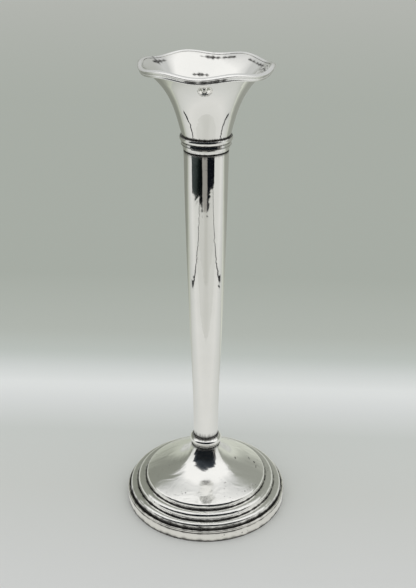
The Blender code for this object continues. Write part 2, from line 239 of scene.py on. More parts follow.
def through(stations, steps):
    """A smooth line through the stations, with the given number of steps between neighbours."""
    stations = [np.array(station) for station in stations]
    spans = []
    for index in range(len(stations) - 1):
        before = stations[max(index - 1, 0)]
        start, end = stations[index], stations[index + 1]
        after = stations[min(index + 2, len(stations) - 1)]
        span = bezier(start, start + (end - before) / 6, end - (after - start) / 6, end, steps)
        spans.append(span if index == 0 else span[1:])
    return np.concatenate(spans)


def line(start, end, steps):
    """Evenly spaced points from start up to, but without, end."""
    share = np.linspace(0, 1, steps, endpoint=False)[:, None]
    return np.array(start) * (1 - share) + np.array(end) * share


def inner_side(outline, wall):
    """The outline moved inwards by the wall, with even thickness at the creases."""
    steps = np.diff(outline, axis=0)
    steps /= np.linalg.norm(steps, axis=1)[:, None]
    normals = np.stack([steps[:, 1], -steps[:, 0]], 1)
    before = np.concatenate([normals[:1], normals])
    after = np.concatenate([normals, normals[-1:]])
    middle = before + after
    middle /= np.linalg.norm(middle, axis=1)[:, None]
    stretch = np.clip((middle * after).sum(1), 0.6, 1.0)
    return outline + middle * (wall / stretch)[:, None]


def ring_angles():
    """Angles of the turned pieces' sections."""
    return np.radians(np.arange(0, 360, RING_STEP_DEGREES))


def unevenness(angles, heights, amount, seed):
    """Slow random waves over a turned surface, as hammering and wear leave them."""
    random = np.random.RandomState(seed)
    total = np.zeros(np.broadcast(angles, heights).shape)
    for _ in range(UNEVEN_WAVES):
        turns = random.randint(1, UNEVEN_MAX_TURNS + 1)
        rise = random.uniform(-1, 1) * 2 * math.pi / UNEVEN_LENGTH
        phase = random.uniform(0, 2 * math.pi)
        weight = random.uniform(0.3, 1.0) / math.sqrt(turns)
        total += weight * np.sin(turns * angles + rise * heights + phase)
    return total * amount / 3


def crease(point, width, patches=()):
    """A ring of black, tarnish in most creases and painted shade in some: where it sits, how far it
    reaches and, if broken, the arcs it covers.
    """
    return point, width, patches


def patch_cover(around, patches):
    """1 in the middle of each arc of black, ragged, and 0 beyond its ends."""
    cover = np.zeros(around.shape)
    for middle, reach in patches:
        turn = (around - middle + math.pi) % (2 * math.pi) - math.pi
        cover = np.maximum(cover, 1 - (turn / reach) ** 2)
    holes = 0.85 + 0.25 * np.sin(17 * around + 1) + 0.3 * np.sin(53 * around + 2 * np.sin(13 * around))
    return np.clip(cover, 0, 1) * np.clip(holes, 0.4, 1)


def crease_tarnish_and_shade(radius, height, around, creases):
    """How black the surface is, from 0 to 1, round the creases, as tarnish and painted shade: ragged,
    and wider on one side as painted shade.
    """
    ragged = 1 + 0.25 * np.sin(23 * around + 2 * np.sin(7 * around)) + 0.2 * np.sin(61 * around + 1)
    # Painted shade: the black reaches further towards one side of the stick, the side that lies darker.
    ragged = ragged + 0.35 * np.cos(around - PAINTED_SHADE_SIDE)
    total = np.zeros(np.broadcast(radius, around).shape)
    for (crease_radius, crease_height), width, patches in creases:
        away = np.hypot(radius - crease_radius, height - crease_height)
        cover = patch_cover(around, patches) if patches else np.ones(around.shape)
        reach = width * ragged * cover + TARNISH_AND_SHADE_FADE
        black = np.clip(TARNISH_AND_SHADE_DENSITY * np.exp(-(away / reach) ** 2), 0, 1)
        total = np.maximum(total, black * np.clip(4 * cover, 0, 1))
    return total


def ring_faces(rows, columns):
    """Quads that join a grid of points into a closed ring: rows round the outline, columns round Z."""
    row = np.arange(rows)[:, None]
    column = np.arange(columns)[None, :]
    next_row = (row + 1) % rows
    next_column = (column + 1) % columns
    corners = [
        row * columns + column,
        next_row * columns + column,
        next_row * columns + next_column,
        row * columns + next_column,
    ]
    return np.stack(corners, -1).reshape(-1, 4).tolist()


def turned(name, outline, bend=None, uneven=0.0, seed=1, creases=()):
    """A closed outline turned about Z, with an attribute of tarnish and painted shade that is strong in
    the creases.
    """
    outline = np.array(outline)
    radius = outline[:, 0][:, None]
    height = outline[:, 1][:, None]
    around = ring_angles()[None, :]
    grid_radius = radius + unevenness(around, height, uneven, seed)
    grid_height = np.broadcast_to(height, grid_radius.shape).copy()
    tarnish_and_shade = crease_tarnish_and_shade(radius, height, around, creases)
    if bend:
        grid_height = bend(around, grid_height)
    points = np.stack([grid_radius * np.cos(around), grid_radius * np.sin(around), grid_height], -1)
    mesh = bpy.data.meshes.new(name)
    mesh.from_pydata(points.reshape(-1, 3).tolist(), [], ring_faces(*points.shape[:2]))
    mesh.update()
    # The attribute holds tarnish and painted shade alike.
    layer = mesh.attributes.new("tarnish_and_shade", "FLOAT", "POINT")
    layer.data.foreach_set("value", tarnish_and_shade.reshape(-1).astype(np.float32))
    mesh.shade_smooth()
    mesh.set_sharp_from_angle(angle=SHARP_ANGLE)
    piece = bpy.data.objects.new(name, mesh)
    bpy.context.scene.collection.objects.link(piece)
    return piece


def stand_for(piece, node, material):
    """Let a piece replace its CAD node, ride on the one body and take its finish."""
    piece.data.materials.append(material)
    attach(piece, "root")
    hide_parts(node)


def rim_wave(angles):
    """Height that the wave and the tilt add to the rim."""
    drift = WAVE_DRIFT * np.sin(angles - RIM_TILT_ANGLE)
    lobes = -WAVE_HEIGHT * np.cos(WAVE_LOBES * (angles - WAVE_LOW_ANGLE + drift))
    return lobes - RIM_TILT_DROP * np.cos(angles - RIM_TILT_ANGLE)


def wave_bend(angles, height):
    """Heights bent to the rim's wave, which fades out down the trumpet."""
    climb = np.clip((height - WAVE_START_HEIGHT) / (RIM_HEIGHT - WAVE_START_HEIGHT), 0, 1)
    return height + climb ** 2 * rim_wave(angles)


def trumpet_outline(steps):
    """Outer side of the trumpet from its lip down to the throat."""
    share = np.linspace(1, 0, steps + 1)
    flare = FLARE_STRAIGHT_SHARE * share + (1 - FLARE_STRAIGHT_SHARE) * share ** FLARE_POWER
    radius = THROAT_RADIUS + (LIP[0] - THROAT_RADIUS) * flare
    return np.stack([radius, TRUMPET_LOW.z + (LIP[1] - TRUMPET_LOW.z) * share], 1)


def reed(inner, outer, steps):
    """Step that rises a little from one crease, turns a tight corner and falls to the next."""
    width = outer[0] - inner[0]
    rise_handle = (inner[0] + 0.6 * width, inner[1] + REED_RISE)
    fall_handle = (outer[0], inner[1] + 0.8 * REED_RISE)
    return bezier(inner, rise_handle, fall_handle, outer, steps)


def foot_outline():
    """Outer side of the foot: neck, dome with a rolled edge, two reeds and the skirt inside the band."""
    dome = bezier(NECK_TOP, NECK_HANDLE, SHOULDER_HANDLE, ROLL, DOME_STEPS)
    roll = bezier(ROLL, ROLL_HANDLE, DROP_HANDLE, DOME_EDGE, ROLL_STEPS)[1:]
    inner_reed = reed(DOME_EDGE, REED_CREASE, REED_STEPS)[1:]
    outer_reed = reed(REED_CREASE, SKIRT_TOP, REED_STEPS)[1:]
    skirt = [(SKIRT_TOP[0], SHELL_LOW.z)]
    return np.concatenate([dome, roll, inner_reed, outer_reed, skirt])


def dome_specks(outer):
    """Small spots of tarnish on the outline of the dome."""
    specks = []
    for distance, turn in DOME_SPECKS:
        spot = outer[np.argmin(np.abs(outer[:, 0] - distance))]
        specks.append(crease(spot, SPECK_REACH, ((turn, 2 * SPECK_REACH / distance),)))
    return specks


def build_foot(material):
    """Raised foot with its dome and reeds."""
    outer = foot_outline()
    outline = np.concatenate([outer, inner_side(outer, SHEET)[::-1]])
    creases = (
        crease(NECK_TOP, NECK_TARNISH),
        crease(DOME_EDGE, REED_TARNISH),
        crease(REED_CREASE, REED_TARNISH),
        crease(SKIRT_TOP, SKIRT_TARNISH),
        *dome_specks(outer),
    )
    foot = turned("foot_shell_fine", outline, uneven=0.10 * MM, seed=5, creases=creases)
    stand_for(foot, "foot_shell", material)


def build_band(material):
    """Bead and strip round the edge of the foot."""
    bead = (FOOT_RADIUS - BAND_BEAD, BAND_HIGH.z - BAND_BEAD)
    inner = SHELL_HIGH.x + SOLDER_GAP
    groove = (FOOT_RADIUS - BAND_GROOVE, bead[1] - BAND_BEAD)
    edge = BAND_EDGE
    outline = np.concatenate(
        [
            arc(bead, BAND_BEAD, 120, -55, 16),
            line((FOOT_RADIUS, groove[1] - edge), (FOOT_RADIUS, BAND_LOW.z + edge), 20),
            arc((FOOT_RADIUS - edge, BAND_LOW.z + edge), edge, 0, -90, 4),
            [(inner, BAND_LOW.z), (inner, BAND_HIGH.z - edge)],
        ]
    )
    creases = (
        crease((SKIRT_TOP[0] + 0.2 * MM, SKIRT_TOP[1]), BAND_TOP_TARNISH),
        crease(groove, GROOVE_TARNISH),
        # Painted shadow: a thin black line along the band's foot, where it meets the floor.
        crease((FOOT_RADIUS, BAND_LOW.z), BAND_FOOT_PAINTED_SHADOW),
    )
    band = turned("foot_band_fine", outline, uneven=0.02 * MM, seed=9, creases=creases)
    stand_for(band, "foot_band", material)


def build_knop(material):
    """Round ring between the stem and the foot, with a small fillet of solder above it."""
    centre = (KNOP_HIGH.x - KNOP_WIRE, KNOP_HEIGHT)
    ring = arc(centre, KNOP_WIRE, 68, -56, 44)
    outline = np.concatenate(
        [
            line((KNOP_BORE, KNOP_HIGH.z), ring[0], 6),
            ring,
            [(NECK_TOP[0], KNOP_LOW.z), (KNOP_BORE, KNOP_LOW.z)],
        ]
    )
    creases = (
        crease((KNOP_BORE, KNOP_HIGH.z - 0.4 * MM), KNOP_TOP_TARNISH),
        crease(ring[-1], COLLAR_TARNISH),
    )
    knop = turned("knop_ring_fine", outline, uneven=0.02 * MM, seed=3, creases=creases)
    stand_for(knop, "knop_ring", material)


def stem_outline():
    """Outer side of the tapered stem."""
    stations = (
        (STEM_TOP_RADIUS, STEM_HIGH.z),
        (0.2275 * FOOT_RADIUS, 3.48 * FOOT_RADIUS),
        (0.1915 * FOOT_RADIUS, 2.40 * FOOT_RADIUS),
        (0.1600 * FOOT_RADIUS, 1.50 * FOOT_RADIUS),
        (STEM_FOOT_RADIUS, STEM_LOW.z),
    )
    return through(stations, STEM_STEPS)


def build_stem(material):
    """Tapered tube."""
    outer = stem_outline()
    outline = np.concatenate([outer, inner_side(outer, SHEET)[::-1]])
    above_knop = (0.1496 * FOOT_RADIUS, KNOP_HIGH.z - 0.2 * MM)
    creases = (crease(outer[0], COLLAR_TARNISH), crease(above_knop, STEM_FOOT_TARNISH))
    stem = turned("stem_tube_fine", outline, uneven=0.04 * MM, seed=2, creases=creases)
    stand_for(stem, "stem_tube", material)


def build_lower_collar(material):
    """Ring round the top of the stem, widest near its top and drawn in below."""
    low, high = LOWER_COLLAR_LOW, LOWER_COLLAR_HIGH
    bulge = 0.4 * (high.z - low.z)
    widest = (high.x - bulge, high.z - COLLAR_EDGE)
    upper = arc((0, 0), 1, 90, 0, 12) * (COLLAR_EDGE, COLLAR_EDGE) + (bulge - COLLAR_EDGE, 0)
    lower = arc((0, 0), 1, 0, -90, 28)[1:] * (bulge, widest[1] - low.z)
    outer = np.concatenate([upper, lower]) + widest
    outline = np.concatenate([outer, [(COLLAR_BORE, low.z), (COLLAR_BORE, high.z)]])
    # Tarnish and painted shadow: black under the collar, where it overhangs the stem.
    creases = (crease(outer[-1], COLLAR_TARNISH),)
    collar = turned("lower_collar_fine", outline, uneven=0.025 * MM, seed=4, creases=creases)
    stand_for(collar, "lower_collar", material)


def build_upper_collar(material):
    """Bead under the trumpet, with a plain band below it."""
    low, high = UPPER_COLLAR_LOW, UPPER_COLLAR_HIGH
    top_angle, bottom_angle = 40.0, -64.0
    spread = math.sin(math.radians(top_angle)) - math.sin(math.radians(bottom_angle))
    bead_radius = (high.z - low.z - COLLAR_BAND) / spread
    bead = (high.x - bead_radius, high.z - bead_radius * math.sin(math.radians(top_angle)))
    outer = arc(bead, bead_radius, top_angle, bottom_angle, 40)
    band_foot = (outer[-1][0] + COLLAR_BAND_SPREAD, low.z)
    inner = [(COLLAR_BORE, low.z), (COLLAR_BORE, high.z)]
    outline = np.concatenate([outer, line(outer[-1], band_foot, 6)[1:], [band_foot], inner])
    creases = (
        crease(outer[0], GROOVE_TARNISH),
        crease(outer[-1], COLLAR_BEAD_TARNISH),
        crease(band_foot, COLLAR_FOOT_TARNISH),
    )
    collar = turned("upper_collar_fine", outline, uneven=0.025 * MM, seed=6, creases=creases)
    stand_for(collar, "upper_collar", material)


def build_trumpet(material):
    """Wavy trumpet with its throat."""
    outer = trumpet_outline(TRUMPET_STEPS)
    outline = np.concatenate([outer, inner_side(outer, SHEET)[::-1]])
    creases = (
        crease(outer[-1], TRUMPET_FOOT_TARNISH),
        # Painted shadow: black arcs inside the back of the lip.
        crease((LIP[0] - INSIDE_INSET, LIP[1] - INSIDE_DEPTH), INSIDE_PAINTED_SHADOW, RIM_PAINTED_SHADOW_ARCS),
        # Painted reflection: a dark patch down the back of the trumpet's inside.
        crease((LIP[0] - BACK_PAINTED_REFLECTION_INSET, LIP[1] - BACK_PAINTED_REFLECTION_DEPTH), BACK_PAINTED_REFLECTION_REACH, BACK_PAINTED_REFLECTION_ARCS),
    )
    trumpet = turned("trumpet_fine", outline, wave_bend, uneven=0.05 * MM, seed=12, creases=creases)
    stand_for(trumpet, "trumpet", material)


def rim_outline(small_bead):
    """Section of the rim wire: a brow with rounded sides over a thinner bead, and a slope to the lip."""
    inmost, slope_in, slope_out, outmost, underside = 135, 84, 34, -4, -62
    brow = (RIM_HIGH.x - BROW_INSET, RIM_HEIGHT + RIM_BEAD - BROW_RADIUS)
    upper = arc(brow, BROW_RADIUS, slope_in, slope_out, 16)
    inner_centre = tangent_centre(upper[0], INNER_RADIUS, slope_in)
    inner = arc(inner_centre, INNER_RADIUS, inmost, slope_in, 8)[:-1]
    edge_centre = tangent_centre(upper[-1], EDGE_RADIUS, slope_out)
    edge = arc(edge_centre, EDGE_RADIUS, slope_out, outmost, 5)[1:]
    lower_centre = tangent_centre(edge[-1], RIM_BEAD, outmost)
    lower = arc(lower_centre, RIM_BEAD, outmost, underside, 12)[1:]
    small = arc(small_bead, SMALL_BEAD, 34, -125, 18)
    seat = LIP[0] + SOLDER_GAP
    back = [
        (seat, small_bead[1] - RIM_SEAT_MARGIN),
        (seat, RIM_HEIGHT + RIM_SEAT_MARGIN),
        (LIP[0] - RIM_LAP, RIM_HEIGHT + RIM_LAP_RISE),
    ]
    return np.concatenate([inner, upper, edge, lower, small, back])


def build_rim(material):
    """Reeded wire round the lip."""
    bead_radius = RIM_HIGH.x - RIM_BEAD
    small_bead = (bead_radius - SMALL_BEAD_INSET, RIM_HEIGHT - SMALL_BEAD_DROP)
    groove_radius = (bead_radius + small_bead[0]) / 2 + RIM_GROOVE_INSET
    groove = (groove_radius, RIM_HEIGHT - RIM_GROOVE_DROP)
    seam = (LIP[0] + SOLDER_GAP, RIM_HEIGHT + SOLDER_GAP)
    creases = (
        crease(groove, RIM_GROOVE_TARNISH),
        # Painted reflection: a dark reflection painted into the rim's groove across the front.
        crease(groove, FRONT_PAINTED_REFLECTION, RIM_PAINTED_REFLECTION_ARCS),
        # Painted shadow: black arcs along the rim's seam at the back.
        crease(seam, RIM_SEAM_PAINTED_SHADOW, RIM_PAINTED_SHADOW_ARCS),
    )
    outline = rim_outline(small_bead)
    rim = turned("rim_wire_fine", outline, wave_bend, uneven=0.03 * MM, seed=8, creases=creases)
    stand_for(rim, "rim_wire", material)


def build_seat(material):
    """Flanged plug at the bottom of the throat."""
    flange_low = SEAT_HIGH.z - SEAT_THICKNESS
    hole_top = SEAT_LOW.z + SEAT_HOLE_DEPTH
    outline = np.concatenate(
        [
            line((AXIS_RADIUS, SEAT_HIGH.z), (SEAT_HIGH.x - SEAT_EDGE, SEAT_HIGH.z), 8),
            arc((SEAT_HIGH.x - SEAT_EDGE, SEAT_HIGH.z - SEAT_EDGE), SEAT_EDGE, 90, 0, 5),
            [
                (SEAT_HIGH.x, flange_low),
                (SEAT_SPIGOT, flange_low),
                (SEAT_SPIGOT, SEAT_LOW.z),
                (SEAT_HOLE, SEAT_LOW.z),
                (SEAT_HOLE, hole_top),
                (AXIS_RADIUS, hole_top),
            ],
        ]
    )
    creases = (crease((SEAT_HIGH.x, SEAT_HIGH.z), SEAT_TARNISH),)
    seat = turned("candle_seat_fine", outline, creases=creases)
    stand_for(seat, "candle_seat", material)


def build_felt(material):
    """Felt disc under the foot with a soft edge."""
    edge = FELT_EDGE
    low, high = FELT_LOW.z, FELT_HIGH.z
    outline = np.concatenate(
        [
            line((AXIS_RADIUS, high), (FELT_HIGH.x - edge, high), 20),
            arc((FELT_HIGH.x - edge, high - edge), edge, 90, 0, 4),
            arc((FELT_HIGH.x - edge, low + edge), edge, 0, -90, 4),
            line((FELT_HIGH.x - 2 * edge, low), (AXIS_RADIUS, low), 20),
            [(AXIS_RADIUS, low)],
        ]
    )
    felt = turned("base_felt_fine", outline)
    stand_for(felt, "base_felt", material)


class Shading:
    """A new Principled material and short ways to add nodes to it."""

    def __init__(self, name):
        """Start a material with its shader and the object's own coordinates."""
        self.material = bpy.data.materials.new(name)
        self.material.use_nodes = True
        self.nodes = self.material.node_tree.nodes
        self.links = self.material.node_tree.links
        self.shader = self.nodes["Principled BSDF"]
        self.place = self.nodes.new("ShaderNodeTexCoord").outputs["Object"]

    def link(self, output, socket):
        """Join an output to one of the shader's sockets."""
        self.links.new(output, self.shader.inputs[socket])

    def stretched(self, scale):
        """The object's coordinates, scaled along each axis."""
        mapping = self.nodes.new("ShaderNodeMapping")
        mapping.inputs["Scale"].default_value = scale
        self.links.new(self.place, mapping.inputs["Vector"])
        return mapping.outputs["Vector"]

    def noise(self, scale, detail=3.0, roughness=0.5, vector=None, distortion=0.0):
        """Factor of a noise texture."""
        texture = self.nodes.new("ShaderNodeTexNoise")
        texture.inputs["Scale"].default_value = scale
        texture.inputs["Detail"].default_value = detail
        texture.inputs["Roughness"].default_value = roughness
        texture.inputs["Distortion"].default_value = distortion
        self.links.new(vector or self.place, texture.inputs["Vector"])
        return texture.outputs["Fac"]

    def remap(self, value, low, high, to_low, to_high):
        """Map a range of a value onto another, clamped."""
        mapping = self.nodes.new("ShaderNodeMapRange")
        mapping.inputs["From Min"].default_value = low
        mapping.inputs["From Max"].default_value = high
        mapping.inputs["To Min"].default_value = to_low
        mapping.inputs["To Max"].default_value = to_high
        self.links.new(value, mapping.inputs["Value"])
        return mapping.outputs["Result"]

    def math(self, operation, first, second):
        """A clamped sum, product or maximum of an output and an output or number."""
        node = self.nodes.new("ShaderNodeMath")
        node.operation = operation
        node.use_clamp = True
        self.links.new(first, node.inputs[0])
        if isinstance(second, float):
            node.inputs[1].default_value = second
        else:
            self.links.new(second, node.inputs[1])
        return node.outputs["Value"]

    def mix(self, factor, first, second):
        """Blend two colours."""
        node = self.nodes.new("ShaderNodeMix")
        node.data_type = "RGBA"
        self.links.new(factor, node.inputs["Factor"])
        for socket, colour in ((6, first), (7, second)):
            if isinstance(colour, tuple):
                node.inputs[socket].default_value = (*colour, 1.0)
            else:
                self.links.new(colour, node.inputs[socket])
        return node.outputs[2]

    def ramp(self, value, stops):
        """A colour ramp whose stops are given as positions and colours, the ends included."""
        node = self.nodes.new("ShaderNodeValToRGB")
        self.links.new(value, node.inputs["Fac"])
        first, last = stops[0][0], stops[-1][0]
        elements = node.color_ramp.elements
        for index, (position, colour) in enumerate(stops):
            share = (position - first) / (last - first)
            element = elements[index] if index < 2 else elements.new(share)
            element.position = share
            element.color = colour
        return node

    def attribute(self, name):
        """A number stored on the mesh."""
        node = self.nodes.new("ShaderNodeAttribute")
        node.attribute_name = name
        return node.outputs["Fac"]

    def bump(self, height, strength, distance, normal=None):
        """A bump from a height, over another bump if one is given."""
        node = self.nodes.new("ShaderNodeBump")
        node.inputs["Strength"].default_value = strength
        node.inputs["Distance"].default_value = distance
        self.links.new(height, node.inputs["Height"])
        if normal:
            self.links.new(normal, node.inputs["Normal"])
        return node.outputs["Normal"]


def silver(name, colour, gloss, haze, swell=0.0, pitted=False):
    """Polished silver: a soft haze of wear, fine polishing lines, a swell and black in the creases,
    which is tarnish in most and painted shade in some.
    """
    look = Shading(name)
    cloud = look.noise(38, detail=4, roughness=0.6)
    polish = look.noise(60, detail=3, vector=look.stretched((1, 1, 22)))
    breakup = look.noise(1600, detail=2)
    broken = look.remap(breakup, 0.3, 0.7, 0.7, 1.1)
    tarnish_and_shade = look.math("MULTIPLY", look.attribute("tarnish_and_shade"), broken)
    if pitted:
        spots = look.remap(look.noise(900, detail=1), 0.68, 0.74, 0.0, 0.8)
        worn_patch = look.remap(look.noise(55, detail=2), 0.50, 0.60, 0.0, 1.0)
        tarnish_and_shade = look.math("MAXIMUM", tarnish_and_shade, look.math("MULTIPLY", spots, worn_patch))
    dull = look.remap(cloud, 0.35, 0.7, 0.0, 1.0)
    clean = look.mix(dull, colour, tuple(0.95 * channel for channel in colour))
    # The black of the creases, tarnish and painted shade alike, is mixed into the base colour.
    look.link(look.mix(tarnish_and_shade, clean, TARNISH_AND_SHADE_COLOUR), "Base Color")
    wear = look.remap(cloud, 0.3, 0.75, gloss, haze)
    look.link(look.math("ADD", wear, look.math("MULTIPLY", tarnish_and_shade, 0.35)), "Roughness")
    look.shader.inputs["Metallic"].default_value = 1.0
    relief = look.bump(polish, 0.12, 0.01 * MM)
    relief = look.bump(look.noise(700, detail=4), 0.10, 0.01 * MM, normal=relief)
    if swell:
        waves = look.noise(1.0, detail=2, vector=look.stretched((75, 110, 95)), distortion=0.7)
        relief = look.bump(waves, 1.0, swell, normal=relief)
    look.link(relief, "Normal")
    return look.material


def plaster():
    """Cast plaster weight."""
    look = Shading("cast_plaster")
    grain = look.noise(420, detail=6, roughness=0.7)
    look.link(look.mix(grain, (0.62, 0.57, 0.49), (0.80, 0.76, 0.69)), "Base Color")
    look.link(look.remap(grain, 0.3, 0.7, 0.82, 0.95), "Roughness")
    look.link(look.bump(grain, 0.5, 0.2 * MM), "Normal")
    return look.material


def steel():
    """Plain mild steel with a drawn grain and a trace of rust."""
    look = Shading("mild_steel")
    grain = look.noise(160, detail=4, vector=look.stretched((1, 1, 0.08)))
    rust = look.remap(look.noise(240, detail=5, roughness=0.7), 0.58, 0.75, 0.0, 0.6)
    look.link(look.mix(rust, (0.40, 0.40, 0.41), (0.24, 0.12, 0.06)), "Base Color")
    look.link(look.remap(grain, 0.3, 0.7, 0.30, 0.50), "Roughness")
    look.shader.inputs["Metallic"].default_value = 0.95
    look.link(look.bump(grain, 0.3, 0.05 * MM), "Normal")
    return look.material


def felt_cloth():
    """Dark green felt with loose fibres."""
    look = Shading("green_felt")
    fibres = look.noise(1500, detail=5, roughness=0.75, distortion=1.2)
    wear = look.noise(45, detail=3)
    green = look.mix(fibres, (0.020, 0.075, 0.045), (0.060, 0.170, 0.105))
    look.link(look.mix(look.remap(wear, 0.5, 0.8, 0.0, 0.35), green, (0.10, 0.16, 0.11)), "Base Color")
    look.shader.inputs["Roughness"].default_value = 0.95
    look.shader.inputs["Sheen Weight"].default_value = 0.4
    look.link(look.bump(fibres, 0.8, 0.25 * MM), "Normal")
    return look.material


def finish_hidden_nodes():
    """Give the CAD nodes that stay, all inside the foot and stem, their own materials."""
    finishes = {"foot_loading": plaster()}
    for node in ("base_plate", "tie_rod", "rod_washer", "rod_nut"):
        finishes[node] = steel()
    for node, material in finishes.items():
        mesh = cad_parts[node].data
        mesh.materials.clear()
        mesh.materials.append(material)


def staged_plane(name, corners, material):
    """A flat piece of the surroundings."""
    mesh = bpy.data.meshes.new(name)
    mesh.from_pydata(corners, [], [tuple(range(len(corners)))])
    plane = bpy.data.objects.new(name, mesh)
    plane.data.materials.append(material)
    bpy.context.scene.collection.objects.link(plane)
    return plane


def painted_sweep_floor():
    """Pale floor with the sweep behind the stick painted on: painted light where the sheet curves up,
    then the sheet's sage grey, darkened as painted shade of the upright wall.
    """
    look = Shading("paper_floor_painted_sweep")
    turned_place = look.nodes.new("ShaderNodeVectorRotate")
    turned_place.rotation_type = "Z_AXIS"
    turned_place.inputs["Angle"].default_value = 0.05
    look.links.new(look.place, turned_place.inputs["Vector"])
    split = look.nodes.new("ShaderNodeSeparateXYZ")
    look.links.new(turned_place.outputs["Vector"], split.inputs["Vector"])
    # Painted light from 0.092 to 0.141, where the sweep catches the light; sage from 0.16 back is the
    # sheet's tone with painted shade of its upright wall.
    stops = (
        (-0.080, (0.73, 0.74, 0.735, 1.0)),
        (0.000, (0.68, 0.695, 0.672, 1.0)),
        (0.060, (0.67, 0.695, 0.675, 1.0)),
        (0.092, (0.79, 0.81, 0.81, 1.0)),
        (0.116, (0.88, 0.90, 0.90, 1.0)),
        (0.141, (0.73, 0.76, 0.75, 1.0)),
        (0.160, (0.60, 0.64, 0.61, 1.0)),
        (0.195, (0.53, 0.56, 0.52, 1.0)),
        (0.300, (0.466, 0.498, 0.454, 1.0)),
        (0.900, (0.475, 0.505, 0.462, 1.0)),
        (1.800, (0.543, 0.557, 0.524, 1.0)),
    )
    reach = look.remap(split.outputs["Y"], stops[0][0], stops[-1][0], 0.0, 1.0)
    look.link(look.ramp(reach, stops).outputs["Color"], "Base Color")
    look.shader.inputs["Roughness"].default_value = 0.9
    look.shader.inputs["Specular IOR Level"].default_value = 0.1
    return look.material


def glow(name, colour):
    """An even, self-lit colour for what only the silver sees."""
    return graded(name, "X", ((-1.0, (*colour, 1.0)), (1.0, (*colour, 1.0))))


def graded(name, axis, stops):
    """A self-lit cloth whose colour and density follow stops along one of its axes."""
    look = Shading(name)
    split = look.nodes.new("ShaderNodeSeparateXYZ")
    look.links.new(look.place, split.inputs["Vector"])
    first, last = stops[0][0], stops[-1][0]
    ramp = look.ramp(look.remap(split.outputs[axis], first, last, 0.0, 1.0), stops)
    emission = look.nodes.new("ShaderNodeEmission")
    look.links.new(ramp.outputs["Color"], emission.inputs["Color"])
    clear = look.nodes.new("ShaderNodeBsdfTransparent")
    blend = look.nodes.new("ShaderNodeMixShader")
    look.links.new(ramp.outputs["Alpha"], blend.inputs["Fac"])
    look.links.new(clear.outputs["BSDF"], blend.inputs[1])
    look.links.new(emission.outputs["Emission"], blend.inputs[2])
    look.links.new(blend.outputs["Shader"], look.nodes["Material Output"].inputs["Surface"])
    look.nodes.remove(look.shader)
    return look.material


def mirrored(name, corners, material):
    """A flat card that shows only in the silver: it lights and shades nothing else."""
    card = staged_plane(name, corners, material)
    card.visible_camera = False
    card.visible_diffuse = False
    card.visible_shadow = False
    return card


def standing(start, end, low, high):
    """Corners of an upright rectangle between two floor points."""
    return [(*start, low), (*end, low), (*end, high), (*start, high)]


def level_rectangle(across, along, height):
    """Corners of a level rectangle that spans two ranges."""
    (left, right), (near, far) = across, along
    return [(left, near, height), (right, near, height), (right, far, height), (left, far, height)]


def around_stick(spots, height):
    """Corners on a level plane, from azimuths (degrees, 0 in front, right positive) and distances."""
    turns = [(math.radians(azimuth), distance) for azimuth, distance in spots]
    return [(distance * math.sin(turn), -distance * math.cos(turn), height) for turn, distance in turns]


def near_floor():
    """The pale floor as the silver sees it, with its light and shade painted in: bright in front, dim
    behind.
    """
    return graded(
        "near_floor",
        "Y",
        (
            (-0.50, (0.66, 0.665, 0.64, 1.0)),
            (-0.20, (0.68, 0.685, 0.66, 1.0)),
            (-0.08, (0.74, 0.74, 0.72, 1.0)),
            (0.00, (0.66, 0.67, 0.65, 1.0)),
            (0.08, (0.60, 0.61, 0.585, 1.0)),
            (0.13, (0.50, 0.515, 0.48, 1.0)),
            (0.18, (0.40, 0.42, 0.38, 1.0)),
            (0.50, (0.38, 0.40, 0.36, 1.0)),
        ),
    )


def centre_shade():
    """A thin shadow on the floor between the seams, deepest in the middle."""
    return graded(
        "centre_shade",
        "X",
        (
            (-0.27, (0.25, 0.25, 0.20, 0.08)),
            (-0.10, (0.25, 0.25, 0.20, 0.10)),
            (-0.03, (0.25, 0.25, 0.20, 0.18)),
            (0.02, (0.25, 0.25, 0.20, 0.18)),
            (0.08, (0.25, 0.25, 0.20, 0.10)),
            (0.265, (0.25, 0.25, 0.20, 0.06)),
        ),
    )


def dark_left():
    """Dark floor that lightens a little towards the far left."""
    return graded(
        "dark_left",
        "X",
        (
            (-0.60, (0.060, 0.070, 0.070, 1.0)),
            (-0.44, (0.030, 0.038, 0.036, 1.0)),
            (-0.36, (0.006, 0.009, 0.008, 1.0)),
            (-0.29, (0.002, 0.003, 0.003, 1.0)),
            (0.00, (0.003, 0.004, 0.005, 1.0)),
        ),
    )


def black_room():
    """Dark room behind the camera, which greys and thins out towards its top."""
    return graded(
        "black_room",
        "Z",
        (
            (0.03, (0.003, 0.004, 0.006, 1.0)),
            (0.30, (0.004, 0.006, 0.008, 1.0)),
            (0.45, (0.020, 0.026, 0.034, 1.0)),
            (0.62, (0.040, 0.048, 0.058, 1.0)),
            (0.74, (0.300, 0.310, 0.320, 0.2)),
        ),
    )


def back_cloth(side, tone):
    """Self-lit sage cloth, with painted light where it meets the floor, and faded out at its top."""
    shares = ((0.000, 2.50), (0.025, 2.25), (0.060, 1.50), (0.100, 1.15), (0.235, 1.20))
    stops = [(height, (*(share * channel for channel in tone), 1.0)) for height, share in shares]
    stops.append((BACK_TOP, (*(1.5 * channel for channel in tone), 0.0)))
    return graded("sage_cloth_" + side, "Z", stops)


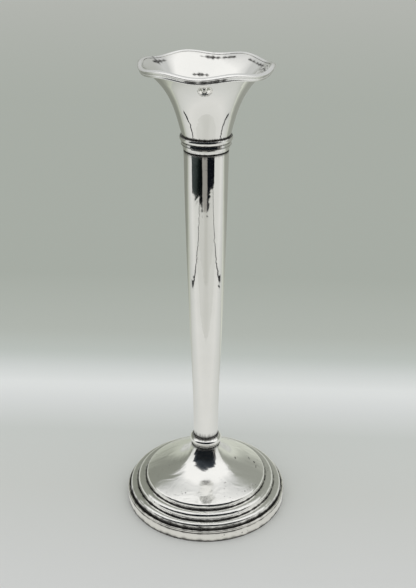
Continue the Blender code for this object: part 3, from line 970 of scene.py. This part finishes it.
def build_mirrored_floor(dark, grey):
    """What the silver sees of the floor: pale near the stick, two thin seams, dark further out."""
    shade = centre_shade()
    pale = level_rectangle((-0.6, 0.6), (-0.5, 0.3), FLOOR_LAYER)
    mirrored("floor_near", pale, near_floor())
    for name, near, layers in (("floor_shade_near", -0.17, 1.5), ("floor_shade_far", -0.26, 2)):
        corners = level_rectangle((LEFT_SEAM, RIGHT_SEAM), (-0.44, near), layers * FLOOR_LAYER)
        mirrored(name, corners, shade)
    left = [(-18, 0.424), (-30, 0.436), (-40, 0.470), (-72, 0.490), (-80, 0.495)]
    left += [(-80, 2.5), (-50, 3.0), (-20, 2.5)]
    right = [(2, 0.420), (12, 0.434), (24, 0.480), (42, 0.515), (42, 2.5), (24, 3.0), (6, 2.5)]
    middle = [(-20, 0.440), (6, 0.437), (6, 2.5), (-20, 2.5)]
    mirrored("dark_floor_left", around_stick(left, 3 * FLOOR_LAYER), dark_left())
    mirrored("dark_floor_right", around_stick(right, 3 * FLOOR_LAYER), dark)
    mirrored("grey_floor", around_stick(middle, 3 * FLOOR_LAYER), grey)
    for name, across in (("left_seam", LEFT_SEAM), ("right_seam", RIGHT_SEAM)):
        width = (across, across + SEAM_WIDTH)
        mirrored(name, level_rectangle(width, (ROOM_FRONT, SEAM_END), 4 * FLOOR_LAYER), dark)


def build_surroundings():
    """Floor, and what the silver mirrors: sage cloth behind, dark room and photographer in front."""
    floor = level_rectangle((-FLOOR_REACH, FLOOR_REACH), (-FLOOR_REACH, FLOOR_REACH), 0)
    staged_plane("floor", floor, painted_sweep_floor())
    dark = glow("black_cloth", (0.004, 0.005, 0.007))
    grey = glow("grey_cloth", (0.30, 0.29, 0.27))
    left_cloth = back_cloth("left", (0.215, 0.225, 0.195))
    right_cloth = back_cloth("right", (0.27, 0.28, 0.25))
    mirrored("back_left", standing((-1.5, 0.12), (0.0, 0.15), 0.0, BACK_TOP), left_cloth)
    mirrored("back_right", standing((0.0, 0.15), (1.5, -0.02), 0.0, BACK_TOP), right_cloth)
    build_mirrored_floor(dark, grey)
    outline = [(0.88, 0.05), (0.88, 0.42), (0.55, 0.55), (0.27, 0.66), (0.08, 0.69), (-0.05, 0.74)]
    outline += [(-0.20, 0.69), (-0.46, 0.68), (-0.75, 0.72), (-1.05, 0.66), (-1.90, 0.55), (-1.90, 0.05)]
    mirrored("photographer", [(across, ROOM_FRONT, up) for across, up in outline], black_room())
    right_grey = standing((0.60, ROOM_FRONT + 0.01), (2.0, ROOM_FRONT - 0.2), 0.05, 0.42)
    mirrored("right_grey", right_grey, grey)


def build_lights():
    """A soft white room, a little brighter overhead than at the horizon."""
    world = bpy.data.worlds.new("room")
    world.use_nodes = True
    nodes, links = world.node_tree.nodes, world.node_tree.links
    direction = nodes.new("ShaderNodeTexCoord").outputs["Generated"]
    split = nodes.new("ShaderNodeSeparateXYZ")
    links.new(direction, split.inputs["Vector"])
    ramp = nodes.new("ShaderNodeValToRGB")
    links.new(split.outputs["Z"], ramp.inputs["Fac"])
    low, high = ramp.color_ramp.elements
    low.color = (0.62, 0.64, 0.61, 1.0)
    high.position = 0.55
    high.color = (0.97, 0.97, 0.96, 1.0)
    behind = nodes.new("ShaderNodeMapRange")
    behind.inputs["From Min"].default_value = 0.10
    behind.inputs["From Max"].default_value = 0.45
    links.new(split.outputs["Y"], behind.inputs["Value"])
    dimmer = nodes.new("ShaderNodeMix")
    dimmer.data_type = "RGBA"
    links.new(behind.outputs["Result"], dimmer.inputs["Factor"])
    links.new(ramp.outputs["Color"], dimmer.inputs[6])
    dimmer.inputs[7].default_value = (0.58, 0.59, 0.585, 1.0)
    links.new(dimmer.outputs[2], nodes["Background"].inputs["Color"])
    bpy.context.scene.world = world


def build_camera():
    """Camera a little above the stick, looking down at it from the front."""
    data = bpy.data.cameras.new("camera")
    data.lens = LENS
    data.sensor_width = 36.0
    data.clip_start = 0.01
    camera = bpy.data.objects.new("camera", data)
    place = Matrix.Translation((0, -CAMERA_BACK, CAMERA_UP))
    yaw = Matrix.Rotation(CAMERA_YAW, 4, "Z")
    pitch = Matrix.Rotation(math.radians(90 - CAMERA_PITCH_DEGREES), 4, "X")
    roll = Matrix.Rotation(CAMERA_ROLL, 4, "Z")
    camera.matrix_world = place @ yaw @ pitch @ roll
    bpy.context.scene.collection.objects.link(camera)
    bpy.context.scene.camera = camera


def main():
    """Build the camera, the silver, the hidden parts' finishes and the surroundings."""
    build_camera()
    bpy.context.scene.view_settings.view_transform = "Standard"
    sheet = silver("sheet_silver", (0.94, 0.935, 0.91), 0.03, 0.08, swell=0.08 * MM)
    wire = silver("wire_silver", (0.95, 0.945, 0.92), 0.06, 0.14)
    build_foot(silver("foot_silver", (0.93, 0.925, 0.90), 0.10, 0.20, swell=0.38 * MM, pitted=True))
    # Painted shade: the band's silver is darker than the foot's, for the shadowed floor that it mirrors.
    build_band(silver("band_silver_painted_shade", (0.86, 0.845, 0.80), 0.12, 0.24, pitted=True))
    build_knop(wire)
    build_stem(sheet)
    build_lower_collar(wire)
    build_upper_collar(wire)
    build_trumpet(sheet)
    build_rim(silver("rim_silver", (0.98, 0.975, 0.96), 0.16, 0.25))
    build_seat(sheet)
    build_felt(felt_cloth())
    finish_hidden_nodes()
    build_surroundings()
    build_lights()


main()
